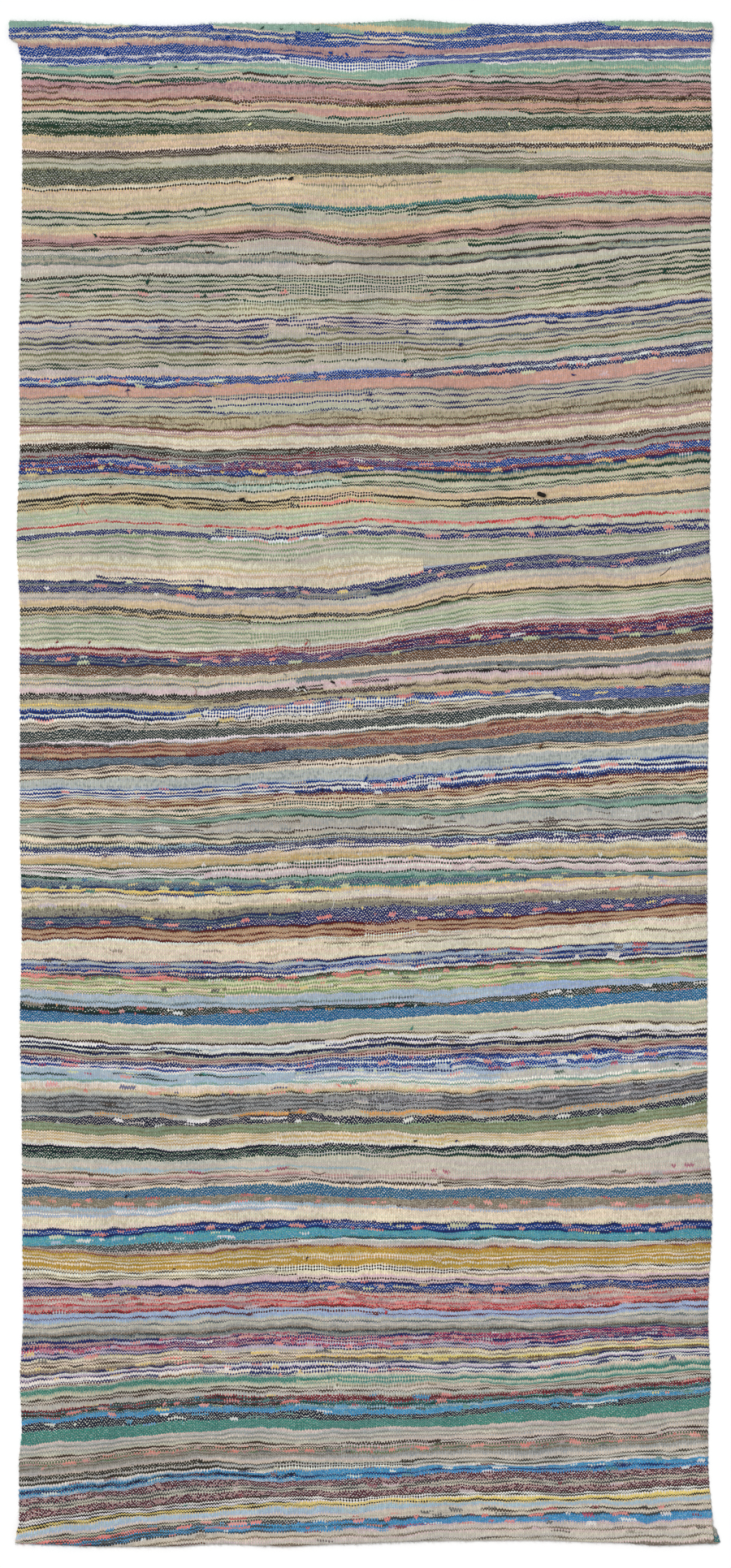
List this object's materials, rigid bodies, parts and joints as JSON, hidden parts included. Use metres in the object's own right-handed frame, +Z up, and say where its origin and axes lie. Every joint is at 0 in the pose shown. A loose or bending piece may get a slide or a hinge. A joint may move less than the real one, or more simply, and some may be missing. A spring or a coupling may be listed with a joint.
{
  "type": "kilim runner",
  "caption": "Long flat-woven striped floor runner, a single sheet of thick cloth with both ends turned under and stitched, lying flat on the floor.",
  "frame": {"origin": "on the floor under the middle of the runner, at the bottom centre of its box", "axes": "+X across the runner between its two selvedges, +Y along its length, +Z up through its face"},
  "size_m": [1.547, 3.3194, 0.009],
  "materials": {
    "woven_cloth": "matt weft-faced weave in crosswise stripes of mixed reclaimed wool and cotton yarns"
  },
  "bodies": {
    "root": {"kilim_cloth": "woven_cloth"}
  },
  "joints": []
}
